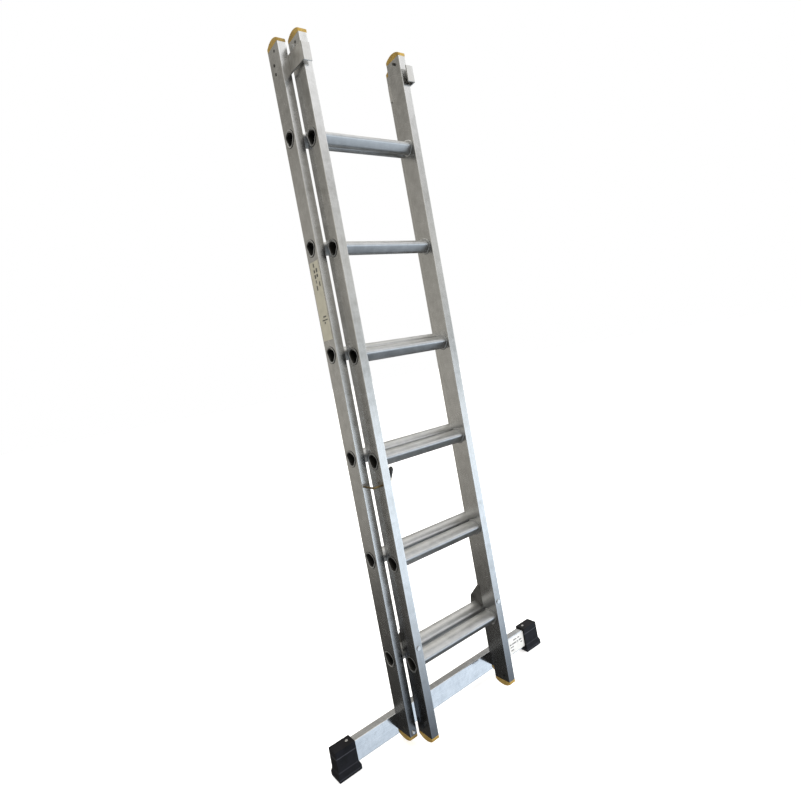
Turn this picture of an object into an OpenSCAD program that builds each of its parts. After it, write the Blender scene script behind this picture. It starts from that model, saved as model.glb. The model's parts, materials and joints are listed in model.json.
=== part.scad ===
// Two-section push-up extension ladder, closed, with a stabiliser bar.
// X runs across the ladder, Y from the front to the back, Z up along the stiles.
// The origin is on the floor plane of the feet, midway between them.

/* [Stiles] */
// Depth of the box section, front to back
stile_depth = 58; // [50:1:70]
// Width of the box section, across the ladder
stile_width = 25; // [22:1:30]
// Wall thickness of the box section
stile_wall = 2; // [1.5:0.1:3]
// Corner radius of the box section
stile_corner = 1.5; // [0.5:0.1:1.9]
// Overall width across the base section's stiles
base_width = 402; // [390:1:460]
// Overall width across the fly section's stiles
fly_width = 332; // [300:1:332]
// How far the fly section nests into the depth of the base section
nesting = 7; // [0:1:7]

/* [Rungs] */
// Distance from one rung to the next
rung_pitch = 280; // [260:5:300]
// Height of the lowest rung above the stiles' lower ends
first_rung = 203; // [190:1:260]
// Length of stile above the highest rung
stile_head = 241; // [230:1:300]
// How much higher the base rungs sit than the fly rungs
base_rung_rise = 14; // [0:1:20]
// Wall thickness of the rung tube
rung_wall = 1.8; // [1.2:0.1:2.5]
// How far the rolled beads stand out around the rung
bead_grow = 4.5; // [2:0.1:5]
// Height of a bead on a stile's outer face
outer_bead = 1.6; // [1:0.1:1.6]
// Height of a bead on a stile's inner face
inner_bead = 2.4; // [1.5:0.1:3]

/* [End caps] */
// Height of a cap at its front and back edges
cap_edge = 8.5; // [3:0.5:10]
// Height of the cap's dome in the middle
cap_top = 17.5; // [12:0.5:20]
// How far the cap's plug reaches into the stile
cap_plug = 26; // [24:1:40]
// Distance of the cap's pin from the end of the stile
cap_pin_inset = 13; // [8:1:15]

/* [Stabiliser bar] */
// Length of the bar inside the feet
bar_length = 776; // [740:2:800]
// Height of the bar's lower edge below the stiles' lower ends
bar_drop = 15.5; // [10:0.5:18]
// Height of the bar's bolts above the stiles' lower ends
bar_bolt_height = 9; // [8:0.5:10]
// Outer half of the distance across both feet
foot_reach = 402; // [396:1:420]
// Width of a foot's sole along the bar
foot_width = 69; // [65:1:80]
// Depth of a foot's sole, front to back
foot_depth = 46; // [42:1:56]
// How far the sole is below the stiles' lower ends
foot_drop = 34; // [30:1:40]

/* [Guide brackets] */
// Height of the lower edge of the brackets above the stiles' lower ends
bracket_height = 1769; // [1740:1:1775]
// Size of a bracket along the stile
bracket_size = 44; // [35:1:50]
// Sheet thickness of a bracket
bracket_wall = 3.5; // [2:0.5:3.5]
// Side room between the fly stile and the left bracket
side_room_l = 3; // [2:0.5:6]
// Side room between the fly stile and the right bracket
side_room_r = 7.5; // [2:0.5:8]
// Room between the fly stile's front face and the bracket's lip
lip_room = 8.5; // [4:0.5:12]
// Width of the bracket's lip
lip_width = 24.5; // [15:0.5:28]

/* [Rung hooks] */
// Thickness of the hook's web
hook_web = 4; // [3:0.5:6]
// Height of the hook above the base rung's axis
hook_rise = 74; // [60:1:78]
// How far the hook's lip reaches below the base rung's axis
hook_lip = 12; // [8:1:16]
// Thickness of the flange on the back of the fly stile
hook_flange = 2.4; // [1.5:0.1:2.4]

/* [Latch] */
// Height of the latch rod above the stiles' lower ends
latch_height = 696; // [680:1:700]
// Depth of the latch rod behind the fly stile's front face
latch_depth = 16; // [14:1:20]
// Diameter of the latch rod
rod_d = 5.5; // [4:0.5:6]
// Reach of the rod beyond the fly stile's outer face
rod_reach = 22; // [18:1:26]
// Reach of the rod inside the fly stile's inner face
rod_inside = 7; // [7:1:16]
// Lean of the rod's upturned end and its grip, away from the stile
grip_lean = 14; // [0:1:20]

/* [Labels] */
// Thickness of a label
label_t = 0.3; // [0.2:0.1:0.5]
// Length of the label on the base stile
stile_label = 206; // [150:1:210]
// Width of the label on the bar
bar_label_w = 74; // [50:1:80]

/* [Hidden] */
RUNGS = 6;
ALU = "silver";
CAP = "goldenrod";
BLACK = "#202224";
ZINC = "#b09a55";
STEEL = "gainsboro";
PAPER = "#dcd6c4";

stile_length = first_rung + (RUNGS - 1) * rung_pitch + stile_head;
base_front = stile_depth - nesting;
base_back = base_front + stile_depth;
base_out = base_width / 2;
base_in = base_out - stile_width;
fly_out = fly_width / 2;
fly_in = fly_out - stile_width;
bar_y = base_back + stile_width / 2;
bolt_x = base_out - stile_width / 2;
base_first_rung = first_rung + base_rung_rise;
foot_x = foot_reach - foot_width / 2;
foot_y = bar_y - 1;

// The rung's section: four arcs joined by flats, as [y, z, radius] from the
// rung's axis: the nose, the underside, the back of the tread and its crown.
NOSE = [-11, 0, 8];
BELLY = [0, -11, 10];
HEEL = [13, 8.5, 7];
CROWN = [8, -18.7, 34];
CORNERS = [NOSE, BELLY, HEEL, CROWN];
SIDES = len(CORNERS);

// Direction of the flat from corner i to the next, seen as its outward normal
function flat_normal(i) =
    let (a = CORNERS[i], b = CORNERS[(i + 1) % SIDES],
         run = [b[0] - a[0], b[1] - a[1]])
    atan2(run[1], run[0]) - acos((a[2] - b[2]) / norm(run));

function turn(from, to) =
    let (by = (to - from) % 360) from + (by < 0 ? by + 360 : by);

// Outline of the section, grown by g
function rung_outline(g = 0, step = 10) = [
    for (i = [0:SIDES - 1])
        let (c = CORNERS[i],
             start = flat_normal((i + SIDES - 1) % SIDES),
             end = turn(start, flat_normal(i)),
             n = ceil((end - start) / step * max(1, c[2] / 10)))
        for (k = [0:n])
            let (a = start + (end - start) * k / n)
            [c[0] + (c[2] + g) * cos(a), c[1] + (c[2] + g) * sin(a)]
];

// ---- helpers ----

// Moves a part from ladder coordinates to the frame's origin
module in_frame() {
    translate([0, -foot_y, foot_drop]) children();
}

// Extrudes a Y-Z outline along X, from x0 for a length
module along_x(x0, length) {
    translate([x0, 0, 0]) rotate([90, 0, 90]) linear_extrude(length) children();
}

// A cylinder along X or Y, starting at a point
module rod_x(p, r, length) {
    translate(p) rotate([0, 90, 0]) cylinder(r = r, h = length, $fn = 32);
}

module rod_y(p, r, length) {
    translate(p) rotate([-90, 0, 0]) cylinder(r = r, h = length, $fn = 32);
}

module round_rect(w, d, r) {
    square([w - 2 * r, d], center = true);
    square([w, d - 2 * r], center = true);
    for (x = [-1, 1], y = [-1, 1])
        translate([x * (w / 2 - r), y * (d / 2 - r)]) circle(r, $fn = 32);
}

module tube_section(w, d, wall, r) {
    difference() {
        round_rect(w, d, r);
        square([w - 2 * wall, d - 2 * wall], center = true);
    }
}

// ---- stiles ----

// A stile with its rung holes. side is -1 or 1, front is its front face.
module stile(out, front, side, rung_z) {
    mid = side * (out - stile_width / 2);
    centre = front + stile_depth / 2;
    difference() {
        translate([mid, centre, 0]) linear_extrude(stile_length)
            tube_section(stile_width, stile_depth, stile_wall, stile_corner);
        for (i = [0:RUNGS - 1])
            translate([0, centre, rung_z + i * rung_pitch])
                along_x(mid - stile_width, 2 * stile_width)
                    polygon(rung_outline());
        for (z = [cap_pin_inset + (front > 0 ? 6 : 0), stile_length - cap_pin_inset])
            rod_x([mid - stile_width, centre - 6, z], 2.5, 2 * stile_width);
    }
}

module base_stile(side) {
    difference() {
        stile(base_out, base_front, side, base_first_rung);
        rod_y([side * bolt_x, base_front - 5, bar_bolt_height], 4.2, stile_depth + 10);
        for (z = bracket_rivet_z)
            rod_x([side * bolt_x - stile_width, bracket_rivet_y, z], 2.4,
                  2 * stile_width);
    }
}

module fly_stile(side) {
    difference() {
        stile(fly_out, 0, side, first_rung);
        rod_y([side * (fly_out - stile_width / 2), -5, hook_rivet_z], 3,
              stile_depth + 10);
        if (side < 0)
            rod_x([-fly_out - 5, latch_depth, latch_height], rod_d / 2 + 0.25,
                  stile_width + 10);
    }
}

module base_stile_l() { color(ALU) in_frame() base_stile(-1); }
module base_stile_r() { color(ALU) in_frame() base_stile(1); }
module fly_stile_l() { color(ALU) in_frame() fly_stile(-1); }
module fly_stile_r() { color(ALU) in_frame() fly_stile(1); }

// ---- rungs ----

module ring(g) {
    difference() {
        polygon(rung_outline(g));
        polygon(rung_outline(-rung_wall));
    }
}

// A rung: one tube through both stiles, with beads rolled against their faces
module rung(out, front, z) {
    in = out - stile_width;
    translate([0, front + stile_depth / 2, z]) {
        along_x(-out, 2 * out) ring(0);
        for (side = [-1, 1]) {
            along_x(side > 0 ? out : -out - outer_bead, outer_bead)
                ring(bead_grow);
            along_x(side > 0 ? in - inner_bead : -in, inner_bead)
                ring(bead_grow);
        }
    }
}

module base_rung(i) {
    color(ALU) in_frame()
        rung(base_out, base_front, base_first_rung + (i - 1) * rung_pitch);
}

module fly_rung(i) {
    color(ALU) in_frame() rung(fly_out, 0, first_rung + (i - 1) * rung_pitch);
}

// ---- end caps and their pins ----

dome_r = (pow(stile_depth / 2, 2) + pow(cap_top - cap_edge, 2))
         / (2 * (cap_top - cap_edge));

// A cap standing on z = 0, with its plug below
module cap_shape() {
    intersection() {
        translate([-stile_width / 2, -stile_depth / 2, 0])
            cube([stile_width, stile_depth, cap_top + 1]);
        rod_dome();
    }
    translate([0, 0, -cap_plug / 2])
        cube([stile_width - 2 * stile_wall - 0.6,
              stile_depth - 2 * stile_wall - 0.6, cap_plug], center = true);
}

module rod_dome() {
    translate([-stile_width, 0, cap_top - dome_r]) rotate([0, 90, 0])
        cylinder(r = dome_r, h = 2 * stile_width, $fn = 180);
}

// Caps one stile end. up is 1 at the head and -1 at the foot.
module cap(out, front, side, up) {
    foot_of_base = front > 0 && up < 0;
    mid = side * (out - stile_width / 2);
    centre = front + stile_depth / 2;
    end = up > 0 ? stile_length : 0;
    inset = cap_pin_inset + (foot_of_base ? 6 : 0);
    difference() {
        translate([mid, centre, end]) mirror([0, 0, up > 0 ? 0 : 1]) cap_shape();
        rod_x([mid - stile_width, centre - 6, end - up * inset], 2.5,
              2 * stile_width);
        if (foot_of_base)
            rod_y([mid, front - 5, bar_bolt_height], 4.3, stile_depth + 10);
    }
}

module base_cap_top_l() { color(CAP) in_frame() cap(base_out, base_front, -1, 1); }
module base_cap_top_r() { color(CAP) in_frame() cap(base_out, base_front, 1, 1); }
module base_cap_foot_l() { color(CAP) in_frame() cap(base_out, base_front, -1, -1); }
module base_cap_foot_r() { color(CAP) in_frame() cap(base_out, base_front, 1, -1); }
module fly_cap_top_l() { color(CAP) in_frame() cap(fly_out, 0, -1, 1); }
module fly_cap_top_r() { color(CAP) in_frame() cap(fly_out, 0, 1, 1); }
module fly_cap_foot_l() { color(CAP) in_frame() cap(fly_out, 0, -1, -1); }
module fly_cap_foot_r() { color(CAP) in_frame() cap(fly_out, 0, 1, -1); }

// One pin through a stile and the cap's plug, with a head at each face
module cap_pin(out, front, side, z) {
    in = out - stile_width;
    p = [0, front + stile_depth / 2 - 6, z];
    x_low = side > 0 ? in : -out;
    rod_x(p + [x_low, 0, 0], 2.3, stile_width);
    rod_x(p + [side > 0 ? out : -out - 0.6, 0, 0], 3.6, 0.6);
    rod_x(p + [side > 0 ? in - 5 : -in, 0, 0], 3.6, 5);
}

module section_pins(out, front) {
    low = cap_pin_inset + (front > 0 ? 6 : 0);
    for (side = [-1, 1], z = [low, stile_length - cap_pin_inset])
        cap_pin(out, front, side, z);
}

module base_cap_pins() { color(STEEL) in_frame() section_pins(base_out, base_front); }
module fly_cap_pins() { color(STEEL) in_frame() section_pins(fly_out, 0); }

// ---- guide brackets ----

bracket_rivet_y = base_front + 36;
bracket_rivet_z = [bracket_height + 11, bracket_height + bracket_size - 11];

// Section of the right bracket: flat on the base stile, then bent in front of
// the fly stile, with a lip that keeps the fly stile in
module bracket_section(side_room) {
    back = base_in - bracket_wall;
    front = fly_out + side_room;
    lip = -lip_room;
    polygon([
        [back, base_back - 4], [base_in, base_back - 4], [base_in, base_front],
        [front + bracket_wall, lip - bracket_wall + 2],
        [front + bracket_wall - 2, lip - bracket_wall],
        [front + bracket_wall - lip_width, lip - bracket_wall],
        [front + bracket_wall - lip_width, lip], [front, lip],
        [back, base_front]
    ]);
}

module guide_bracket(side) {
    mirror([side > 0 ? 0 : 1, 0, 0])
        difference() {
            translate([0, 0, bracket_height]) linear_extrude(bracket_size)
                bracket_section(side > 0 ? side_room_r : side_room_l);
            for (z = bracket_rivet_z)
                rod_x([base_in - 10, bracket_rivet_y, z], 2.4, 20);
        }
}

module guide_bracket_l() { color(ALU) in_frame() guide_bracket(-1); }
module guide_bracket_r() { color(ALU) in_frame() guide_bracket(1); }

// Two rivets a side, through the bracket and the base stile
module bracket_rivets() {
    length = stile_width + bracket_wall;
    color(STEEL) in_frame() for (side = [-1, 1], z = bracket_rivet_z)
        mirror([side > 0 ? 0 : 1, 0, 0])
            translate([0, bracket_rivet_y, z]) {
                rod_x([base_in - bracket_wall, 0, 0], 2.3, length);
                rod_x([base_in - bracket_wall - 1.8, 0, 0], 4.5, 1.8);
                rod_x([base_out, 0, 0], 4, 1);
            }
}

// ---- rung hooks ----

hook_rivet_z = base_first_rung + 33;
hook_foot = 10;

// Side outline of the web, from the axis of the lowest base rung
module hook_outline() {
    near = stile_depth + hook_flange - (base_front + stile_depth / 2);
    difference() {
        polygon([
            [near, hook_foot], [-6, 3], [14, -2], [21, -hook_lip],
            [30, -hook_lip], [33, 7], [28, hook_rise - 42], [-12, hook_rise],
            [near, hook_rise]
        ]);
        polygon(rung_outline(1.2));
    }
}

module hook(side) {
    low = base_first_rung + hook_foot;
    high = base_first_rung + hook_rise;
    difference() {
        union() {
            translate([0, base_front + stile_depth / 2, base_first_rung])
                along_x(side > 0 ? fly_in : -fly_in - hook_web, hook_web)
                    hook_outline();
            translate([side > 0 ? fly_in : -fly_out, stile_depth, low])
                cube([stile_width, hook_flange, high - low]);
        }
        rod_y([side * (fly_out - stile_width / 2), stile_depth - 5, hook_rivet_z],
              3, 20);
    }
}

module hook_l() { color(STEEL) in_frame() hook(-1); }
module hook_r() { color(STEEL) in_frame() hook(1); }

// One long rivet a side, through the fly stile and the hook's flange
module hook_rivets() {
    length = stile_depth + hook_flange;
    color(STEEL) in_frame() for (side = [-1, 1])
        translate([side * (fly_out - stile_width / 2), 0, hook_rivet_z]) {
            rod_y([0, 0, 0], 2.8, length);
            rod_y([0, -2.2, 0], 6, 2.2);
            rod_y([0, length, 0], 4, 0.5);
        }
}

// ---- stabiliser bar, its bolts and feet ----

bar_mid_z = stile_depth / 2 - bar_drop;

module stabiliser_bar() {
    color(ALU) in_frame() difference() {
        translate([0, bar_y, bar_mid_z]) along_x(-bar_length / 2, bar_length)
            tube_section(stile_width, stile_depth, stile_wall, stile_corner);
        for (side = [-1, 1]) {
            rod_y([side * bolt_x, base_back - 5, bar_bolt_height], 4.2, 40);
            translate([side * (foot_x - 15), bar_y, bar_mid_z])
                cylinder(r = 2.4, h = stile_depth, $fn = 32);
        }
    }
}

// A bolt through each base stile and the bar, with a domed head in front
module stabiliser_bolts() {
    grip = stile_depth + stile_width;
    color(STEEL) in_frame() for (side = [-1, 1])
        translate([side * bolt_x, base_front, bar_bolt_height]) {
            rod_y([0, 0, 0], 4, grip + 9);
            translate([0, -3.6, 0]) rotate([-90, 0, 0])
                cylinder(r1 = 4.2, r2 = 6.5, h = 3.6, $fn = 32);
        }
}

module stabiliser_nuts() {
    color(STEEL) in_frame() for (side = [-1, 1])
        translate([side * bolt_x, base_back + stile_width, bar_bolt_height])
            rotate([-90, 0, 0]) difference() {
                cylinder(r = 7.5, h = 6.5, $fn = 6);
                translate([0, 0, -1]) cylinder(r = 4.1, h = 9, $fn = 32);
            }
}

foot_top = stile_depth - bar_drop + 4.5;

// A foot: a sleeve closed at its outer end, flaring into the sole
module foot_shape() {
    sole = foot_width / 2;
    sole_edge = 4 - foot_drop;
    waist = sole - 4;
    depth = foot_depth / 2;
    intersection() {
        rotate([90, 0, 0]) linear_extrude(100, center = true) polygon([
            [-waist, foot_top], [waist, foot_top], [waist + 1, -7],
            [sole, -18], [sole, sole_edge], [sole - 4, -foot_drop],
            [4 - sole, -foot_drop], [-sole, sole_edge], [-sole, -18],
            [-waist, -7]
        ]);
        along_x(-50, 100) polygon([
            [-depth + 5, foot_top], [depth - 5, foot_top], [depth - 5, -7],
            [depth, -18], [depth, sole_edge], [depth - 4, -foot_drop],
            [4 - depth, -foot_drop], [-depth, sole_edge], [-depth, -18],
            [-depth + 5, -7]
        ]);
    }
}

module foot(side) {
    mirror([side > 0 ? 0 : 1, 0, 0]) difference() {
        translate([foot_x, foot_y, 0]) foot_shape();
        translate([foot_x - 60, bar_y - stile_width / 2 - 0.2,
                   -bar_drop - 0.2])
            cube([bar_length / 2 + 0.3 - foot_x + 60, stile_width + 0.4,
                  stile_depth + 0.4]);
        translate([foot_x - 15, bar_y, foot_top - 10])
            cylinder(r = 2.5, h = 20, $fn = 32);
    }
}

module foot_l() { color(BLACK) in_frame() foot(-1); }
module foot_r() { color(BLACK) in_frame() foot(1); }

// A rivet through the top of each foot into the bar
module foot_rivets() {
    color(STEEL) in_frame() for (side = [-1, 1])
        translate([side * (foot_x - 15), bar_y, foot_top]) {
            translate([0, 0, -9]) cylinder(r = 2.3, h = 9, $fn = 32);
            cylinder(r = 4.2, h = 1.4, $fn = 32);
        }
}

// ---- latch: a cranked rod that turns in the left fly stile ----

LATCH_AXIS = [0, latch_depth, latch_height];
finger_end = base_front - 1.5;
grip_x = -fly_in + rod_inside;

// The round of a bend, a little fuller than the rod
module rod_ball(p) { translate(p) sphere(r = rod_d / 2 + 0.3, $fn = 32); }

module latch_rod() {
    tip = [-fly_out - rod_reach, latch_depth, latch_height];
    bend = [grip_x, latch_depth, latch_height];
    color(ZINC) in_frame() {
        rod_x(tip, rod_d / 2, grip_x - tip[0]);
        rod_ball(tip);
        rod_y(tip, rod_d / 2, finger_end - latch_depth);
        rod_ball(bend);
        translate(bend) rotate([0, grip_lean, 0])
            cylinder(r = rod_d / 2, h = 34, $fn = 32);
    }
}

// The teardrop grip on the rod's upturned end, narrow at the bottom
module latch_grip() {
    color(BLACK) in_frame()
        translate([grip_x, latch_depth, latch_height])
        rotate([0, grip_lean, 0]) translate([0, 0, 13]) difference() {
            rotate_extrude($fn = 48) polygon([
                [0, 0], [3.4, 0], [3.9, 3], [6.6, 19],
                for (a = [-10:10:90]) [6.6 * cos(a), 21 + 9 * sin(a)]
            ]);
            translate([0, 0, -1]) cylinder(r = rod_d / 2 + 0.05, h = 22.2, $fn = 32);
        }
}

// ---- labels ----

module base_label() {
    mid_z = base_first_rung + 3.5 * rung_pitch;
    color(PAPER) in_frame()
        translate([-base_out - label_t, base_front + 5, mid_z - stile_label / 2])
            cube([label_t, stile_depth - 10, stile_label]);
}

module bar_label() {
    color(PAPER) in_frame()
        translate([262, base_back - label_t, -bar_drop + 3])
            cube([bar_label_w, label_t, stile_depth - 6]);
}

base_stile_l();
base_stile_r();
base_rung(1);  // base_rung_1
base_rung(2);  // base_rung_2
base_rung(3);  // base_rung_3
base_rung(4);  // base_rung_4
base_rung(5);  // base_rung_5
base_rung(6);  // base_rung_6
base_cap_top_l();
base_cap_top_r();
base_cap_foot_l();
base_cap_foot_r();
base_cap_pins();
guide_bracket_l();
guide_bracket_r();
bracket_rivets();
stabiliser_bar();
stabiliser_bolts();
stabiliser_nuts();
foot_l();
foot_r();
foot_rivets();
base_label();
bar_label();
fly_stile_l();
fly_stile_r();
fly_rung(1);  // fly_rung_1
fly_rung(2);  // fly_rung_2
fly_rung(3);  // fly_rung_3
fly_rung(4);  // fly_rung_4
fly_rung(5);  // fly_rung_5
fly_rung(6);  // fly_rung_6
fly_cap_top_l();
fly_cap_top_r();
fly_cap_foot_l();
fly_cap_foot_r();
fly_cap_pins();
hook_l();
hook_r();
hook_rivets();
latch_rod();
latch_grip();
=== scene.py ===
# %% [markdown]
# A closed extension ladder: two aluminium sections of box stiles and D-shaped
# rungs, domed plastic caps, guide brackets at the head, rung hooks near the
# foot and a stabiliser bar on two black feet.
#
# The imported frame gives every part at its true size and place. This file keeps
# the parts whose shape is already right, remakes the ones that need rounder or
# finer forms, and gives each surface a finish of its own.

import json
import math

import bmesh
import bpy
from mathutils import Matrix, Vector


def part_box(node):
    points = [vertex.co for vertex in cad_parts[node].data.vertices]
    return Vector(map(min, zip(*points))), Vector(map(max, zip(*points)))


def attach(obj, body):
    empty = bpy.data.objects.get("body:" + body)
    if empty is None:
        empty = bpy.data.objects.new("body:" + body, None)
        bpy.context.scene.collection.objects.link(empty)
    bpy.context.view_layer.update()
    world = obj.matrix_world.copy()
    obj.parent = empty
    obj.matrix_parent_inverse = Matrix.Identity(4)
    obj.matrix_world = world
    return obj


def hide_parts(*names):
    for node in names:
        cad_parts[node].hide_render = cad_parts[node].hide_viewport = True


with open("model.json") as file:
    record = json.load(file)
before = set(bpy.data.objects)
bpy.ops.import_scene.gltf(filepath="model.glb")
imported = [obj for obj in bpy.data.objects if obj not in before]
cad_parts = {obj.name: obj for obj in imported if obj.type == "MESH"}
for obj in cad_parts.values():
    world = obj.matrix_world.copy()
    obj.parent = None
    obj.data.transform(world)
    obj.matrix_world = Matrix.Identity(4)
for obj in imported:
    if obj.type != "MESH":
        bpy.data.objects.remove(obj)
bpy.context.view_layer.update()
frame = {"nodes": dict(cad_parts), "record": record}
slot_of = {s["node"]: s["material_slot"] for s in frame["record"]["subparts"]}
body_of = {
    n: b for b, names in frame["record"]["behaviour"]["bodies"].items() for n in names
}
MM = 0.001

# %% [markdown]
# Every finish here is a tree of shader nodes. A few small helpers make a node,
# set its constants and link its inputs in one call, so that each recipe below
# reads as what it does and not as bookkeeping.


# %% Node helpers
def add(tree, kind, inputs=None, **settings):
    """Makes a node. An input is a constant, or a socket to link from."""
    n = tree.nodes.new(kind)
    for key, value in settings.items():
        setattr(n, key, value)
    for key, value in (inputs or {}).items():
        if isinstance(value, bpy.types.NodeSocket):
            tree.links.new(value, n.inputs[key])
        else:
            n.inputs[key].default_value = value
    return n


def math_node(tree, operation, *values, clamp=False):
    n = add(tree, "ShaderNodeMath", dict(enumerate(values)), operation=operation)
    n.use_clamp = clamp
    return n.outputs[0]


def ramp(tree, factor, *stops):
    """A colour ramp from (position, value) stops; a value is a grey or an RGB."""
    n = add(tree, "ShaderNodeValToRGB", {"Fac": factor})
    elements = n.color_ramp.elements
    while len(elements) < len(stops):
        elements.new(0.5)
    for element, (position, value) in zip(elements, stops):
        element.position = position
        rgb = value if isinstance(value, tuple) else (value,) * 3
        element.color = (*rgb, 1)
    return n.outputs["Color"]


def mix(tree, factor, a, b, blend="MIX"):
    n = add(tree, "ShaderNodeMix", data_type="RGBA", blend_type=blend)
    for index, value in ((0, factor), (6, a), (7, b)):
        if isinstance(value, bpy.types.NodeSocket):
            tree.links.new(value, n.inputs[index])
        elif isinstance(value, tuple):
            n.inputs[index].default_value = (*value, 1)
        else:
            n.inputs[index].default_value = value
    return n.outputs[2]


print("helpers: add, math_node, ramp and mix")

# %% [markdown]
# Bare metal shows what it mirrors, so the light round the ladder matters more
# than the metal's own colour. A few lamps alone would leave the stiles black or
# burnt out. The world holds four wide parts instead, each a ramp of shades from
# straight down to straight up: a dull warm one on the left and behind, a side
# one behind on the right, a near one in front on the left, and a bright one in
# front on the right. All are darker low down. Behind the ladder the eye still
# sees plain white.

# %% World light
world = bpy.data.worlds.new("studio")
bpy.context.scene.world = world
world.use_nodes = True
sky = world.node_tree
sky.nodes.clear()
direction = add(sky, "ShaderNodeTexCoord").outputs["Generated"]
parts = add(sky, "ShaderNodeSeparateXYZ", {0: direction}).outputs
FRONT_RIGHT, FRONT_LEFT, BACK_RIGHT = (0.90, -0.43), (-0.51, -0.86), (0.90, 0.43)
WARM, COOL, ICY = (1.0, 0.96, 0.87), (0.80, 0.90, 1.0), (0.88, 0.95, 1.0)
CREAM, WHITE = (1.0, 1.0, 0.97), (1.0, 1.0, 1.0)


def facing(way, start, end):
    """How far a direction turns towards a compass way, eased from 0 to 1."""
    along = math_node(
        sky,
        "ADD",
        math_node(sky, "MULTIPLY", parts["X"], way[0]),
        math_node(sky, "MULTIPLY", parts["Y"], way[1]),
    )
    n = add(
        sky,
        "ShaderNodeMapRange",
        {"Value": along, "From Min": start, "From Max": end},
        interpolation_type="SMOOTHSTEP",
    )
    return n.outputs[0]


def shades(tint, *stops):
    """Stops of a ramp whose greys all take one tint."""
    return [(at, tuple(grey * t for t in tint)) for at, grey in stops]


# 0 is straight down, 0.5 is level and 1 is straight up.
height = math_node(sky, "MULTIPLY_ADD", parts["Z"], 0.5, 0.5)
dull = ramp(
    sky,
    height,
    *shades(
        WARM, (0.20, 0.075), (0.28, 0.062), (0.31, 0.090), (0.355, 0.207),
        (0.45, 0.287), (0.50, 0.273), (0.64, 0.250), (0.69, 0.220),
        (0.735, 0.150), (0.80, 0.32), (0.87, 0.85), (0.95, 0.95),
    ),
)
side = ramp(
    sky,
    height,
    *shades(
        WARM, (0.25, 0.03), (0.45, 0.20), (0.60, 0.20), (0.72, 0.17),
        (0.79, 0.20), (0.87, 0.85), (0.95, 0.95),
    ),
)
near = ramp(
    sky,
    height,
    *shades(
        WARM, (0.217, 0.060), (0.278, 0.075), (0.355, 0.125), (0.45, 0.17),
        (0.50, 0.225), (0.60, 0.34), (0.69, 0.30), (0.735, 0.15), (0.95, 0.24),
    ),
)
bright = ramp(
    sky,
    height,
    *shades(COOL, (0.12, 0.10), (0.17, 0.18), (0.205, 0.66)),
    *shades(COOL, (0.278, 0.84), (0.31, 0.88), (0.355, 0.97)),
    *shades(ICY, (0.45, 1.0), (0.485, 0.44)),
    *shades(CREAM, (0.56, 0.43), (0.60, 0.60), (0.64, 0.43), (0.665, 0.25)),
    *shades(WHITE, (0.69, 0.55), (0.735, 0.86), (0.95, 0.70)),
)
studio = mix(sky, facing(BACK_RIGHT, 0.35, 0.85), dull, side)
studio = mix(sky, facing(FRONT_LEFT, 0.10, 0.50), studio, near)
studio = mix(sky, facing(FRONT_RIGHT, 0.15, 0.55), studio, bright)
seen = add(sky, "ShaderNodeLightPath").outputs["Is Camera Ray"]
light = add(sky, "ShaderNodeBackground", {"Color": studio, "Strength": 1.5})
plain = add(sky, "ShaderNodeBackground", {"Color": (1, 1, 1, 1), "Strength": 1.0})
both = add(
    sky, "ShaderNodeMixShader", {0: seen, 1: light.outputs[0], 2: plain.outputs[0]}
)
add(sky, "ShaderNodeOutputWorld", {"Surface": both.outputs[0]})
bpy.context.scene.view_settings.view_transform = "Standard"
print("world: bright towards", FRONT_RIGHT)

# %% [markdown]
# The stage is a plain white floor under three soft lamps. The floor glows a
# little, so it stays white round the ladder and keeps only a faint shadow.
# Floor and lamps are hidden from mirror images, because the world's ramps
# already hold all that the metal should mirror.


# %% Floor
def new_object(name, bm):
    mesh = bpy.data.meshes.new(name)
    bm.to_mesh(mesh)
    bm.free()
    o = bpy.data.objects.new(name, mesh)
    bpy.context.scene.collection.objects.link(o)
    return o


bm = bmesh.new()
bmesh.ops.create_grid(bm, x_segments=1, y_segments=1, size=40)
floor = new_object("floor", bm)
paper = bpy.data.materials.new("floor_white")
paper.use_nodes = True
shader = paper.node_tree.nodes["Principled BSDF"]
shader.inputs["Base Color"].default_value = (0.86, 0.86, 0.86, 1)
shader.inputs["Roughness"].default_value = 0.9
shader.inputs["Emission Color"].default_value = (1, 1, 1, 1)
shader.inputs["Emission Strength"].default_value = 0.7
floor.data.materials.append(paper)
floor.visible_glossy = False
print("floor: plain white at height 0")


# %% Soft lights
def softbox(name, place, target, size, watts, colour=(1, 1, 1)):
    data = bpy.data.lights.new(name, "AREA")
    data.shape, data.size, data.size_y = "RECTANGLE", size[0], size[1]
    data.energy, data.color = watts, colour
    o = bpy.data.objects.new(name, data)
    bpy.context.scene.collection.objects.link(o)
    o.location = place
    aim = Vector(target) - Vector(place)
    o.rotation_mode = "QUATERNION"
    o.rotation_quaternion = aim.to_track_quat("-Z", "Y")
    o.visible_glossy = False
    return o


softbox("key", (2.6, -3.0, 1.6), (0, 0, 0.8), (2.2, 2.6), 90, (0.97, 0.99, 1.0))
softbox("top", (0.3, -0.4, 4.2), (0, 0, 0.9), (2.4, 2.4), 60)
softbox("back", (1.6, 3.4, 2.2), (0, 0, 1.0), (2.0, 2.6), 40)
print("lights: key, top and back")

# %% [markdown]
# The camera stands close to the ladder's left, a little over halfway up, and is
# rolled, so the stiles lean across the picture and the head looks smaller.

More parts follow.
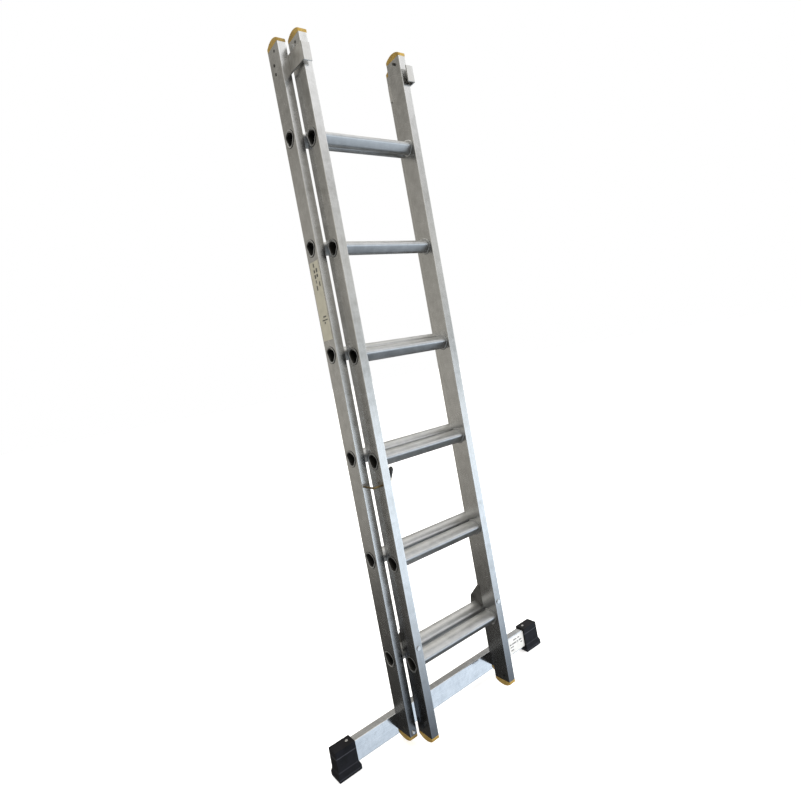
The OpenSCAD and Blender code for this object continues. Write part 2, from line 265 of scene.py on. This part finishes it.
# %% Camera
CAMERA_PLACE = (-0.88351, -1.26780, 1.02998)
CAMERA_AXES = (
    (0.79360648, -0.5807473, -0.18144234),
    (0.18489185, -0.05392036, 0.98127855),
    (-0.57965831, -0.81229623, 0.0645839),
)
FOCAL_IN_WIDTHS = 0.66043695
lens = bpy.data.cameras.new("camera")
lens.sensor_width = 36
lens.lens = FOCAL_IN_WIDTHS * lens.sensor_width
lens.clip_start = 0.05
camera = bpy.data.objects.new("camera", lens)
bpy.context.scene.collection.objects.link(camera)
turn = Matrix(CAMERA_AXES).transposed().to_4x4()
camera.matrix_world = Matrix.Translation(CAMERA_PLACE) @ turn
bpy.context.scene.camera = camera
print("camera: lens", round(lens.lens, 2), "mm")

# %% [markdown]
# Drawn aluminium is never one even grey. It has fine lines along the direction
# it was pushed through the die, cloudy patches of oxide, and scuffs from use.
# Three noises make that here, once, in a group that every metal part shares:
# each part turns the group's vector so that its lines run the right way.


# %% Shared node groups
def new_group(name, inputs, outputs):
    g = bpy.data.node_groups.new(name, "ShaderNodeTree")
    for label, kind, default in inputs:
        s = g.interface.new_socket(label, in_out="INPUT", socket_type=kind)
        if default is not None:
            s.default_value = default
    for label, kind in outputs:
        g.interface.new_socket(label, in_out="OUTPUT", socket_type=kind)
    return g, g.nodes.new("NodeGroupInput").outputs, g.nodes.new("NodeGroupOutput")


FLOAT, VECTOR = "NodeSocketFloat", "NodeSocketVector"
drawn, ins, out = new_group(
    "drawn_metal",
    [
        ("Vector", VECTOR, None),
        ("Lines", FLOAT, 0.3),
        ("Clouds", FLOAT, 0.5),
        ("Scuffs", FLOAT, 0.5),
    ],
    [("Tone", FLOAT), ("Rough", FLOAT), ("Height", FLOAT)],
)
along = add(
    drawn, "ShaderNodeMapping", {"Vector": ins["Vector"], "Scale": (900, 900, 9)}
).outputs[0]
lines = add(drawn, "ShaderNodeTexNoise", {"Vector": along, "Scale": 1, "Detail": 4})
clouds = add(
    drawn,
    "ShaderNodeTexNoise",
    {"Vector": ins["Vector"], "Scale": 38, "Detail": 7, "Roughness": 0.62},
)
tilt = add(
    drawn,
    "ShaderNodeMapping",
    {"Vector": ins["Vector"], "Rotation": (0.5, 0.35, 0.9), "Scale": (60, 700, 110)},
).outputs[0]
marks = add(
    drawn,
    "ShaderNodeTexNoise",
    {"Vector": tilt, "Scale": 1, "Detail": 2, "Roughness": 0.4, "Distortion": 0.6},
)
scuff = ramp(drawn, marks.outputs["Fac"], (0.63, 0.0), (0.70, 1.0))
patch = add(
    drawn, "ShaderNodeTexNoise", {"Vector": ins["Vector"], "Scale": 9, "Detail": 3}
)
worn = ramp(drawn, patch.outputs["Fac"], (0.48, 0.0), (0.62, 1.0))
scuff = math_node(
    drawn, "MULTIPLY", math_node(drawn, "MULTIPLY", scuff, worn), ins["Scuffs"]
)
line_part = math_node(
    drawn,
    "MULTIPLY",
    math_node(drawn, "SUBTRACT", lines.outputs["Fac"], 0.5),
    ins["Lines"],
)
cloud_part = math_node(
    drawn,
    "MULTIPLY",
    math_node(drawn, "SUBTRACT", clouds.outputs["Fac"], 0.5),
    ins["Clouds"],
)
tone = math_node(drawn, "ADD", line_part, cloud_part)
tone = math_node(drawn, "SUBTRACT", tone, math_node(drawn, "MULTIPLY", scuff, 0.25))
drawn.links.new(math_node(drawn, "ADD", tone, 0.5, clamp=True), out.inputs["Tone"])
rough = math_node(drawn, "MULTIPLY_ADD", cloud_part, 0.8, 0.5)
rough = math_node(drawn, "MULTIPLY_ADD", scuff, 0.3, rough)
drawn.links.new(rough, out.inputs["Rough"])
relief = math_node(drawn, "MULTIPLY_ADD", scuff, -0.6, lines.outputs["Fac"])
drawn.links.new(relief, out.inputs["Height"])
print("group:", drawn.name)

# %% [markdown]
# Box sections get knocked on their corners, and the bare metal there is
# brighter. A point on a box's surface is near a corner when it is far from the
# middle line both ways, so a little arithmetic on its place finds the corner.

# %% Corner wear group
corner, ins, out = new_group(
    "corner_wear",
    [("Vector", VECTOR, None), ("Half", VECTOR, (0.0125, 0.029, 1.0))],
    [("Mask", FLOAT)],
)
offset = add(
    corner, "ShaderNodeVectorMath", {0: ins["Vector"]}, operation="ABSOLUTE"
).outputs[0]
short = add(
    corner, "ShaderNodeVectorMath", {0: ins["Half"], 1: offset}, operation="SUBTRACT"
).outputs[0]
room = add(corner, "ShaderNodeSeparateXYZ", {0: short}).outputs
far = math_node(corner, "MAXIMUM", room["X"], room["Y"])
nick = add(
    corner,
    "ShaderNodeTexNoise",
    {"Vector": ins["Vector"], "Scale": 70, "Detail": 5, "Roughness": 0.7},
)
ragged = math_node(corner, "SUBTRACT", nick.outputs["Fac"], 0.5)
edge = math_node(corner, "MULTIPLY_ADD", ragged, 0.006, far)
mask = ramp(corner, edge, (0.0006, 1.0), (0.0022, 0.0))
corner.links.new(mask, out.inputs["Mask"])
print("group:", corner.name)

# %% [markdown]
# Moulded plastic and rubber have a fine cast grain, slow changes of shade, and
# pale scuffs where they rub on things. One group gives all three.

# %% Moulded group
moulded, ins, out = new_group(
    "moulded",
    [("Vector", VECTOR, None), ("Grain", FLOAT, 900.0)],
    [("Shade", FLOAT), ("Scuff", FLOAT), ("Height", FLOAT)],
)
grain = add(
    moulded,
    "ShaderNodeTexNoise",
    {"Vector": ins["Vector"], "Scale": ins["Grain"], "Detail": 3},
)
shade = add(
    moulded, "ShaderNodeTexNoise", {"Vector": ins["Vector"], "Scale": 45, "Detail": 5}
)
rub = add(
    moulded,
    "ShaderNodeTexNoise",
    {"Vector": ins["Vector"], "Scale": 120, "Detail": 8, "Roughness": 0.75},
)
moulded.links.new(shade.outputs["Fac"], out.inputs["Shade"])
moulded.links.new(
    ramp(moulded, rub.outputs["Fac"], (0.58, 0.0), (0.72, 1.0)), out.inputs["Scuff"]
)
moulded.links.new(grain.outputs["Fac"], out.inputs["Height"])
print("group:", moulded.name)

# %% [markdown]
# The shared groups give tones and masks. A recipe for metal and one for plastic turn
# those into colour, roughness and relief. The stiles get one step more: their corners
# are rubbed bright, and their colour grows darker towards the bottom.


# %% Material helpers
def new_material(name, **constants):
    m = bpy.data.materials.new(name)
    m.use_nodes = True
    shader = m.node_tree.nodes["Principled BSDF"]
    for key, value in constants.items():
        shader.inputs[key.replace("_", " ")].default_value = value
    where = add(m.node_tree, "ShaderNodeTexCoord").outputs["Object"]
    return m, m.node_tree, shader, where


def bump(tree, shader, height, strength, distance):
    b = add(
        tree,
        "ShaderNodeBump",
        {"Height": height, "Strength": strength, "Distance": distance},
    )
    tree.links.new(b.outputs[0], shader.inputs["Normal"])


def metal(
    name, dark, pale, rough, run="Z", lines=0.35, clouds=0.9, scuffs=0.6, relief=0.00003
):
    """Drawn metal with its lines along one axis. Gives what a further step needs."""
    m, tree, shader, where = new_material(name, Metallic=1.0)
    turns = {"Z": (0, 0, 0), "X": (0, math.pi / 2, 0), "Y": (math.pi / 2, 0, 0)}
    placed = add(
        tree, "ShaderNodeMapping", {"Vector": where, "Rotation": turns[run]}
    ).outputs[0]
    g = add(tree, "ShaderNodeGroup", node_tree=drawn)
    tree.links.new(placed, g.inputs["Vector"])
    g.inputs["Lines"].default_value = lines
    g.inputs["Clouds"].default_value = clouds
    g.inputs["Scuffs"].default_value = scuffs
    colour = ramp(tree, g.outputs["Tone"], (0.25, dark), (0.75, pale))
    tree.links.new(colour, shader.inputs["Base Color"])
    low, high = rough
    roughness = add(
        tree,
        "ShaderNodeMapRange",
        {
            "Value": g.outputs["Rough"],
            "From Min": 0.2,
            "From Max": 0.8,
            "To Min": low,
            "To Max": high,
        },
    ).outputs[0]
    tree.links.new(roughness, shader.inputs["Roughness"])
    bump(tree, shader, g.outputs["Height"], 0.35, relief)
    return m, tree, shader, where, colour


DARKENING_HEIGHT = 0.5
RUBBED_METAL = (0.86, 0.86, 0.85)


def wear_and_darken_stile(made, centre, half):
    """Brightens a stile's corners and darkens it towards its foot. centre is its middle
    line.
    """
    m, tree, shader, where, colour = made
    xyz = add(tree, "ShaderNodeSeparateXYZ", {0: where}).outputs
    place = add(
        tree,
        "ShaderNodeCombineXYZ",
        {"X": math_node(tree, "ABSOLUTE", xyz["X"]), "Y": xyz["Y"], "Z": xyz["Z"]},
    ).outputs[0]
    local = add(
        tree, "ShaderNodeMapping", {"Vector": place, "Location": [-c for c in centre]}
    ).outputs[0]
    g = add(tree, "ShaderNodeGroup", node_tree=corner)
    tree.links.new(local, g.inputs["Vector"])
    g.inputs["Half"].default_value = half
    worn = mix(tree, g.outputs["Mask"], colour, RUBBED_METAL)
    # Below half a metre up, the stile's colour is multiplied darker towards the bottom.
    rise = add(
        tree, "ShaderNodeMapRange", {"Value": xyz["Z"], "From Max": DARKENING_HEIGHT}
    ).outputs[0]
    darkening = ramp(
        tree, rise, (0.10, (0.25, 0.255, 0.27)), (0.32, (0.43, 0.44, 0.46)),
        (0.66, (0.78, 0.78, 0.79)), (1.0, (1.0, 1.0, 1.0)),
    )
    tree.links.new(mix(tree, 1.0, worn, darkening, "MULTIPLY"), shader.inputs["Base Color"])
    return m


def plastic(name, dark, pale, scuff_colour, rough, grain, relief, specular=0.5):
    """Moulded plastic with pale scuffs. rough is its range from clean to scuffed."""
    m, tree, shader, where = new_material(name, Specular_IOR_Level=specular)
    g = add(tree, "ShaderNodeGroup", node_tree=moulded)
    tree.links.new(where, g.inputs["Vector"])
    g.inputs["Grain"].default_value = grain
    colour = ramp(tree, g.outputs["Shade"], (0.35, dark), (0.65, pale))
    rubbed = math_node(tree, "MULTIPLY", g.outputs["Scuff"], 0.55)
    colour = mix(tree, rubbed, colour, scuff_colour)
    tree.links.new(colour, shader.inputs["Base Color"])
    low, high = rough
    roughness = add(
        tree,
        "ShaderNodeMapRange",
        {"Value": g.outputs["Scuff"], "To Min": low, "To Max": high},
    ).outputs[0]
    tree.links.new(roughness, shader.inputs["Roughness"])
    bump(tree, shader, g.outputs["Height"], 0.4, relief)
    return m


print("recipes: metal, wear_and_darken_stile and plastic")

# %% [markdown]
# The stiles are drawn box sections, smooth along their length. The bar is
# smoother and shinier, and the rungs are duller, because boots scour them. The
# hooks are dark castings, the heavy fasteners are zinc-plated, the thin pins
# have gone dark, and the latch rod has a yellow zinc finish. They could each
# have a tree of their own, but one metal recipe with its own two tones,
# roughness and direction keeps them a family.


# %% Metals
def middle(node):
    lo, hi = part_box(node)
    return (Vector(lo) + Vector(hi)) / 2


HALF_SECTION = (12.5 * MM, 29 * MM, 9.0)
ALU_DARK, ALU_PALE = (0.57, 0.57, 0.56), (0.79, 0.79, 0.79)
finish = {}
for section in ("base", "fly"):
    made = metal(
        f"stile_alu_{section}", ALU_DARK, ALU_PALE, (0.16, 0.32), relief=0.000012
    )
    c = middle(f"{section}_stile_r")
    finish[f"{section}_stile"] = wear_and_darken_stile(made, (c.x, c.y, 0), HALF_SECTION)
finish["bar"] = metal(
    "bar_alu", (0.62, 0.64, 0.67), (0.88, 0.89, 0.91), (0.10, 0.22), run="X"
)[0]
finish["rung"] = metal(
    "rung_alu", (0.51, 0.52, 0.53), (0.72, 0.73, 0.74), (0.34, 0.50), run="X"
)[0]
finish["bracket"] = metal(
    "bracket_alu", (0.60, 0.59, 0.57), (0.82, 0.82, 0.81), (0.28, 0.46), clouds=1.2
)[0]
finish["hook"] = metal(
    "hook_cast", (0.14, 0.14, 0.14), (0.30, 0.30, 0.29), (0.42, 0.62), lines=0.0,
    clouds=1.4, relief=0.00015,
)[0]
finish["steel"] = metal(
    "zinc_steel", (0.60, 0.60, 0.60), (0.82, 0.82, 0.82), (0.2, 0.36), clouds=1.3
)[0]
finish["pin"] = metal(
    "pin_steel", (0.10, 0.10, 0.10), (0.24, 0.24, 0.23), (0.3, 0.5), clouds=1.3
)[0]
finish["brass"] = metal(
    "latch_zinc", (0.15, 0.10, 0.045), (0.36, 0.27, 0.13), (0.22, 0.42), clouds=1.4,
    run="X",
)[0]
print("metals:", len(finish))

# %% [markdown]
# The caps are a dull mustard plastic, the feet a black rubber that hardly
# shines, and the grip a harder, glossier black. They share the plastic recipe.
# A low specular level keeps the feet deep black under the bright lamps.

# %% Plastics
finish["cap"] = plastic(
    "cap_mustard", (0.24, 0.145, 0.02), (0.37, 0.24, 0.045), (0.46, 0.36, 0.17),
    (0.42, 0.62), 700.0, 0.00006,
)
finish["foot"] = plastic(
    "foot_black", (0.002, 0.002, 0.003), (0.005, 0.005, 0.008), (0.014, 0.015, 0.020),
    (0.36, 0.55), 1100.0, 0.00007, specular=0.16,
)
finish["grip"] = plastic(
    "grip_black", (0.012, 0.012, 0.012), (0.022, 0.022, 0.022), (0.06, 0.06, 0.06),
    (0.22, 0.4), 1200.0, 0.00003,
)
print("plastics: cap, foot and grip")

# %% [markdown]
# Each foot is a moulding with three shallow steps round it: near the sole, a third of
# the way up, and under the top. They could be cut into the mesh, but here a ramp up the
# foot's height raises them in the bump only. Thin paler lines along them are painted
# highlights on the steps.

# %% Foot moulding lines
RIDGE_HEIGHT = 1.6 * MM
GRAIN_PART = 0.05
STEP_HIGHLIGHT_GREY = (0.075, 0.078, 0.095)
foot_tree = finish["foot"].node_tree
foot_shader = foot_tree.nodes["Principled BSDF"]
foot_bump = foot_tree.nodes["Bump"]
foot_low, foot_high = (corner_point[2] for corner_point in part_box("foot_l"))
foot_place = add(foot_tree, "ShaderNodeTexCoord").outputs["Object"]
foot_rise = add(
    foot_tree,
    "ShaderNodeMapRange",
    {
        "Value": add(foot_tree, "ShaderNodeSeparateXYZ", {0: foot_place}).outputs["Z"],
        "From Min": foot_low,
        "From Max": foot_high,
    },
).outputs[0]
ridges = ramp(
    foot_tree, foot_rise, (0.09, 1.0), (0.11, 0.4), (0.30, 0.4), (0.32, 0.0),
    (0.76, 0.0), (0.79, 1.0),
)
grain_height = foot_bump.inputs["Height"].links[0].from_socket
cast = math_node(foot_tree, "MULTIPLY_ADD", grain_height, GRAIN_PART, ridges)
foot_tree.links.new(cast, foot_bump.inputs["Height"])
foot_bump.inputs["Distance"].default_value = RIDGE_HEIGHT
# Painted highlight: thin paler lines along the three steps.
painted_step_highlights = ramp(
    foot_tree, foot_rise, (0.10, 0.0), (0.12, 0.5), (0.14, 0.0), (0.30, 0.0),
    (0.32, 0.35), (0.34, 0.0), (0.755, 0.0), (0.775, 0.8), (0.795, 0.0),
)
foot_colour = foot_shader.inputs["Base Color"].links[0].from_socket
foot_tree.links.new(
    mix(foot_tree, painted_step_highlights, foot_colour, STEP_HIGHLIGHT_GREY),
    foot_shader.inputs["Base Color"],
)
print("foot: lines between", round(foot_low, 4), "and", round(foot_high, 4), "m")

# %% [markdown]
# The labels carry no writing, only plain generic bars. Each bar is a band of
# the label's own width and height, made from the place on the label.


# %% Label finish
def between(tree, value, low, high):
    """1 where a value lies between two limits, otherwise 0."""
    return math_node(
        tree,
        "MULTIPLY",
        math_node(tree, "GREATER_THAN", value, low),
        math_node(tree, "LESS_THAN", value, high),
    )


def label_finish(name, node, across, rows, base, ink):
    """Film with generic bars. rows holds (from, to, low, high) in fractions."""
    m, tree, shader, where = new_material(name)
    lo, hi = (Vector(v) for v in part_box(node))
    xyz = add(tree, "ShaderNodeSeparateXYZ", {0: where}).outputs
    axis = "XYZ".index(across)
    wide = add(
        tree,
        "ShaderNodeMapRange",
        {"Value": xyz[across], "From Min": lo[axis], "From Max": hi[axis]},
    ).outputs[0]
    high = add(
        tree,
        "ShaderNodeMapRange",
        {"Value": xyz["Z"], "From Min": lo.z, "From Max": hi.z},
    ).outputs[0]
    total = None
    for left, right, bottom, top in rows:
        inside = math_node(
            tree,
            "MULTIPLY",
            between(tree, wide, left, right),
            between(tree, high, bottom, top),
        )
        total = inside if total is None else math_node(tree, "ADD", total, inside)
    g = add(tree, "ShaderNodeGroup", node_tree=moulded)
    tree.links.new(where, g.inputs["Vector"])
    g.inputs["Grain"].default_value = 500.0
    soiled = tuple(c * 0.82 for c in base)
    film = ramp(tree, g.outputs["Shade"], (0.3, soiled), (0.7, base))
    inked = mix(tree, math_node(tree, "MULTIPLY", total, 0.95), film, ink)
    rubbed = math_node(tree, "MULTIPLY", g.outputs["Scuff"], 0.5)
    worn = mix(tree, rubbed, inked, soiled)
    tree.links.new(worn, shader.inputs["Base Color"])
    roughness = add(
        tree,
        "ShaderNodeMapRange",
        {"Value": g.outputs["Scuff"], "To Min": 0.4, "To Max": 0.65},
    ).outputs[0]
    tree.links.new(roughness, shader.inputs["Roughness"])
    bump(tree, shader, g.outputs["Height"], 0.3, 0.00003)
    return m


stile_bars = [
    (0.50, 0.62, 0.93, 0.98), (0.52, 0.66, 0.86, 0.90), (0.24, 0.40, 0.86, 0.91),
    (0.50, 0.66, 0.79, 0.84), (0.26, 0.42, 0.80, 0.84), (0.52, 0.62, 0.73, 0.77),
    (0.18, 0.30, 0.68, 0.74), (0.52, 0.64, 0.64, 0.70), (0.22, 0.55, 0.29, 0.31),
    (0.12, 0.72, 0.25, 0.265), (0.40, 0.52, 0.21, 0.235),
]
finish["stile_label"] = label_finish(
    "label_stile", "base_label", "Y", stile_bars, (0.43, 0.41, 0.33), (0.03, 0.03, 0.03)
)
end_bars = [
    (0.34, 0.56, 0.76, 0.84), (0.62, 0.74, 0.76, 0.84), (0.08, 0.20, 0.55, 0.64),
    (0.24, 0.50, 0.55, 0.64), (0.54, 0.64, 0.55, 0.64), (0.69, 0.86, 0.55, 0.64),
    (0.10, 0.32, 0.38, 0.45), (0.76, 0.88, 0.38, 0.45), (0.12, 0.30, 0.18, 0.26),
]
finish["bar_label"] = label_finish(
    "label_bar", "bar_label", "X", end_bars, (0.74, 0.74, 0.73), (0.12, 0.12, 0.13)
)
print("labels:", len(stile_bars), "and", len(end_bars), "bars")

# %% [markdown]
# A rung is a tube with three rounded corners and a slightly crowned tread. Its
# shape starts as four sharp corners in a side view, each bevelled to its own
# radius, and the outline is then drawn along X. Moving each point the way it
# faces swells the outline into the rolled beads on the stile's faces and turns
# it in at the open mouth, where it also becomes rounder, as a flared tube does.


# %% Rung outline
# Each corner is the centre (y, z) and the radius of its round, in millimetres.
SECTION = (((-11, 0), 8), ((0, -11), 10), ((13, 8.5), 7), ((8, -18.7), 34))
SECTION_CENTRE = Vector((0, 0.5, -2.2)) * MM
ROUND_WIDE, ROUND_HIGH = 20.0, 18.8
BEAD_GROW = 4.5
WALL = 1.8


def flat_normal(i):
    """The way the flat between corner i and the next one faces, as an angle."""
    (ay, az), ra = SECTION[i]
    (by, bz), rb = SECTION[(i + 1) % len(SECTION)]
    return math.atan2(bz - az, by - ay) - math.acos(
        (ra - rb) / math.hypot(by - ay, bz - az)
    )


def sharp_corner(i):
    """Where the flats beside corner i would meet, and how far back its round starts."""
    (y, z), r = SECTION[i]
    before, after = flat_normal((i - 1) % len(SECTION)), flat_normal(i)
    spread = ((after - before) % (2 * math.pi)) / 2
    reach = r / math.cos(spread)
    way = before + spread
    point = (y + reach * math.cos(way), z + reach * math.sin(way))
    return point, r * math.tan(spread)


def rung_outline(bm):
    """The closed outline at x = 0, with every corner rounded."""
    corners = [sharp_corner(i) for i in range(len(SECTION))]
    verts = [bm.verts.new((0, y * MM, z * MM)) for (y, z), _ in corners]
    bm.faces.new(verts)
    for v, (_, setback) in zip(verts, corners):
        bmesh.ops.bevel(
            bm, geom=[v], offset=setback * MM, offset_type="OFFSET", segments=8,
            profile=0.5, affect="VERTICES", material=-1,
        )
    bmesh.ops.delete(bm, geom=list(bm.faces), context="FACES_ONLY")
    return list(bm.edges)


def outward(v):
    """The way the outline faces at a point."""
    a, b = (e.other_vert(v).co for e in v.link_edges)
    way = (b - a).cross(Vector((1, 0, 0))).normalized()
    return way if way.dot(v.co - SECTION_CENTRE) > 0 else -way


bm = bmesh.new()
print("rung outline:", len(rung_outline(bm)), "sides")
bm.free()

# %% Rungs
# Painted shade: a near-black finish stands in for the shade inside the tube and in the
# groove behind each rim.
finish["bore"] = plastic(
    "tube_inside_painted_shade", (0.004, 0.004, 0.003), (0.014, 0.013, 0.011), (0.03, 0.029, 0.025),
    (0.6, 0.85), 300.0, 0.0002,
)


def shade_smooth(o, angle=32):
    o.data.shade_smooth()
    o.data.set_sharp_from_angle(angle=math.radians(angle))


RIM_PROUD = 1.6
BEAD_WIDTH = 2.4
AXIS_HEIGHT = 21.0


def build_rung(name, node, stile):
    """One rung with its four beads, built on the right and mirrored."""
    lo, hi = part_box(node)
    rim = hi[0]
    inside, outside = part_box(stile)[0][0], rim - RIM_PROUD * MM
    axis_z = lo[2] + (AXIS_HEIGHT + BEAD_GROW) * MM
    axis_y = middle(stile).y
    bead = inside - BEAD_WIDTH * MM
    # Each step is its x, how far the outline swells, and how round it becomes.
    path = [
        (bead, 0, 0), (bead + 0.1 * MM, 2.0, 0.1), (bead + 0.5 * MM, 3.6, 0.2),
        (bead + 1.1 * MM, 4.4, 0.3), (bead + 1.8 * MM, 4.2, 0.3), (inside, 3.6, 0.3),
        (inside + 0.4 * MM, 0, 0), (outside - 0.4 * MM, 0, 0), (outside, 4.4, 0.8),
        (outside + 0.8 * MM, 4.2, 0.8), (rim - 0.2 * MM, 3.3, 0.85), (rim, 2.5, 0.85),
        (rim, 1.5, 0.85), (rim - 0.3 * MM, 0.4, 0.85), (rim - 0.9 * MM, -0.6, 0.85),
        (rim - 1.8 * MM, -1.4, 0.85), (rim - 3.5 * MM, -2.2, 0.85),
        (rim - 12 * MM, -WALL, 0), (0, -WALL, 0),
    ]
    bm = bmesh.new()
    edges = rung_outline(bm)
    shape = {v: (v.co.copy(), outward(v)) for v in bm.verts}
    for x, grow, rounding in path:
        made = bmesh.ops.extrude_edge_only(bm, edges=edges)["geom"]
        edges = [e for e in made if isinstance(e, bmesh.types.BMEdge)]
        drawn_on = {}
        for v in (v for v in made if isinstance(v, bmesh.types.BMVert)):
            beside = (e.other_vert(v) for e in v.link_edges)
            point, way = drawn_on[v] = next(shape[w] for w in beside if w in shape)
            spot = point + way * grow * MM
            arm = (spot - SECTION_CENTRE).normalized()
            wide, high = ROUND_WIDE + grow, ROUND_HIGH + grow
            reach = 1 / math.hypot(arm.y / wide, arm.z / high)
            v.co = spot.lerp(SECTION_CENTRE + arm * reach * MM, rounding)
            v.co.x = x
        shape = drawn_on
    bmesh.ops.mirror(
        bm, geom=list(bm.verts) + list(bm.edges) + list(bm.faces), merge_dist=1e-6,
        axis="X",
    )
    bmesh.ops.remove_doubles(bm, verts=list(bm.verts), dist=1e-6)
    bmesh.ops.recalc_face_normals(bm, faces=list(bm.faces))
    bmesh.ops.translate(bm, verts=list(bm.verts), vec=(0, axis_y, axis_z))
    o = new_object(name, bm)
    o.data.materials.append(finish["rung"])
    o.data.materials.append(finish["bore"])
    # Painted shade: faces inside the tube and in the groove behind the rim take the
    # near-black second finish.
    for face in o.data.polygons:
        r = face.center - Vector((face.center.x, axis_y, axis_z))
        out_x = abs(face.center.x)
        in_bore_shade = face.normal.dot(r) < 0 and out_x < rim - 1.3 * MM
        in_rim_shade = outside < out_x < rim - 0.25 * MM and face.normal.dot(r) > 0
        face.material_index = int(in_bore_shade or in_rim_shade)
    shade_smooth(o)
    return o


def dress(o, material, *nodes):
    """Gives a new piece its finish, its body and the nodes it stands for."""
    if not o.data.materials:
        o.data.materials.append(material)
    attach(o, body_of[nodes[0]])
    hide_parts(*nodes)
    return o


for section in ("base", "fly"):
    for number in range(1, 7):
        node = f"{section}_rung_{number}"
        rung = build_rung(f"{section}_tread_{number}", node, f"{section}_stile_r")
        dress(rung, finish["rung"], node)
print("rungs: 12, each with", len(rung.data.polygons), "faces")

# %% [markdown]
# The caps are one moulding: a rim that covers the stile's end and a crown that
# is highest in the middle. A box is cut across its top, lifted there to the
# crown, and bevelled all round, so its edges catch the light softly. The caps
# are hidden from mirror images, because dull old metal shows none of their
# colour.


# %% Caps
CROWN, EDGE = 17.5 * MM, 8.5 * MM
CROWN_CUTS = 15
CAP_ROUND = 1.3 * MM
SHARP_TURN = 0.6


def build_cap(name, node):
    """A crowned cap at the place of its node, turned over at a stile's foot."""
    lo, hi = (Vector(v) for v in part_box(node))
    up = 1 if middle(node).z > 1 else -1
    base_z = hi.z - CROWN if up > 0 else lo.z + CROWN
    size = Vector((hi.x - lo.x, hi.y - lo.y, EDGE))
    bm = bmesh.new()
    bmesh.ops.create_cube(bm, size=1)
    bmesh.ops.scale(bm, vec=size, verts=bm.verts)
    bmesh.ops.translate(bm, vec=(0, 0, EDGE / 2), verts=bm.verts)
    long_edges = [
        e for e in bm.edges if abs(e.verts[0].co.y - e.verts[1].co.y) > size.y / 2
    ]
    bmesh.ops.subdivide_edges(bm, edges=long_edges, cuts=CROWN_CUTS, use_grid_fill=True)
    half = size.y / 2
    radius = (half**2 + (CROWN - EDGE) ** 2) / (2 * (CROWN - EDGE))
    for v in bm.verts:
        if v.co.z > EDGE / 2:
            v.co.z = CROWN - radius + math.sqrt(radius**2 - v.co.y**2)
    rims = [
        e for e in bm.edges
        if min(v.co.z for v in e.verts) > EDGE / 2
        and e.calc_face_angle(0) > SHARP_TURN
    ]
    uprights = [
        e for e in bm.edges
        if abs(e.verts[0].co.z - e.verts[1].co.z) > EDGE / 2
        and e.calc_face_angle(0) > SHARP_TURN
    ]
    bmesh.ops.bevel(
        bm, geom=rims + uprights, offset=CAP_ROUND, segments=4, profile=0.5,
        affect="EDGES", material=-1, clamp_overlap=True,
    )
    if up < 0:
        bmesh.ops.scale(bm, vec=(1, 1, -1), verts=bm.verts)
        bmesh.ops.recalc_face_normals(bm, faces=bm.faces)
    m = middle(node)
    bmesh.ops.translate(bm, vec=(m.x, m.y, base_z), verts=bm.verts)
    o = new_object(name, bm)
    shade_smooth(o, 40)
    return o


for node in [n for n in slot_of if "_cap_top_" in n or "_cap_foot_" in n]:
    section, _, end, side = node.split("_")
    cap = build_cap(f"{section}_{end}_crown_{side}", node)
    dress(cap, finish["cap"], node)
    cap.visible_glossy = False
print("caps: 8, each with", len(cap.data.polygons), "faces")

# %% [markdown]
# Bent sheet, castings and mouldings have small rounds on every edge, and rivet
# and pin heads are domed. The frame's own shapes are right but sharp, so a copy
# of each is merged, its flat areas joined into whole faces, and a bevel rounds
# what is left. A wide bevel on a flat head makes its dome.


# %% Softened copies
def soften(name, node, width, segments=3):
    """A copy of a node with rounds of a width in millimetres on its sharp edges."""
    bm = bmesh.new()
    bm.from_mesh(frame["nodes"][node].data)
    bmesh.ops.remove_doubles(bm, verts=bm.verts, dist=2e-6)
    bmesh.ops.dissolve_limit(
        bm, angle_limit=math.radians(1), verts=bm.verts, edges=bm.edges
    )
    o = new_object(name, bm)
    # Stored normals would shade the new rounds as if they were still flat.
    if "custom_normal" in o.data.attributes:
        o.data.attributes.remove(o.data.attributes["custom_normal"])
    o.data.materials.clear()
    o.data.shade_smooth()
    bevel = o.modifiers.new("round_edges", "BEVEL")
    bevel.width, bevel.segments = width * MM, segments
    bevel.limit_method, bevel.angle_limit = "ANGLE", math.radians(35)
    bevel.harden_normals = True
    return o


for side in ("l", "r"):
    bracket = soften(f"guide_plate_{side}", f"guide_bracket_{side}", 0.8)
    dress(bracket, finish["bracket"], f"guide_bracket_{side}")
    hook = soften(f"rung_hook_{side}", f"hook_{side}", 0.7)
    dress(hook, finish["hook"], f"hook_{side}")
    foot = soften(f"bar_foot_{side}", f"foot_{side}", 2.4, 5)
    dress(foot, finish["foot"], f"foot_{side}")
for name, node, width, key in (
    ("hook_domes", "hook_rivets", 1.9, "steel"),
    ("bolt_domes", "stabiliser_bolts", 1.4, "steel"),
    ("foot_domes", "foot_rivets", 1.1, "steel"),
    ("bracket_domes", "bracket_rivets", 0.9, "pin"),
    ("base_pin_domes", "base_cap_pins", 0.5, "pin"),
    ("fly_pin_domes", "fly_cap_pins", 0.5, "pin"),
):
    dress(soften(name, node, width, 4), finish[key], node)
print("softened: brackets, hooks, feet and fasteners")

# %% [markdown]
# The stiles, the bar, its nuts, the latch and the labels already have the right
# shape in the frame. They stay as they are and only get their finishes.

# %% Finishes for the parts that stay
kept = {
    "base_stile_l": "base_stile", "base_stile_r": "base_stile",
    "fly_stile_l": "fly_stile", "fly_stile_r": "fly_stile",
    "stabiliser_bar": "bar", "stabiliser_nuts": "steel", "latch_rod": "brass",
    "latch_grip": "grip", "base_label": "stile_label", "bar_label": "bar_label",
}
for node, key in kept.items():
    for material_slot in frame["nodes"][node].material_slots:
        material_slot.material = finish[key]
print("kept parts:", len(kept))
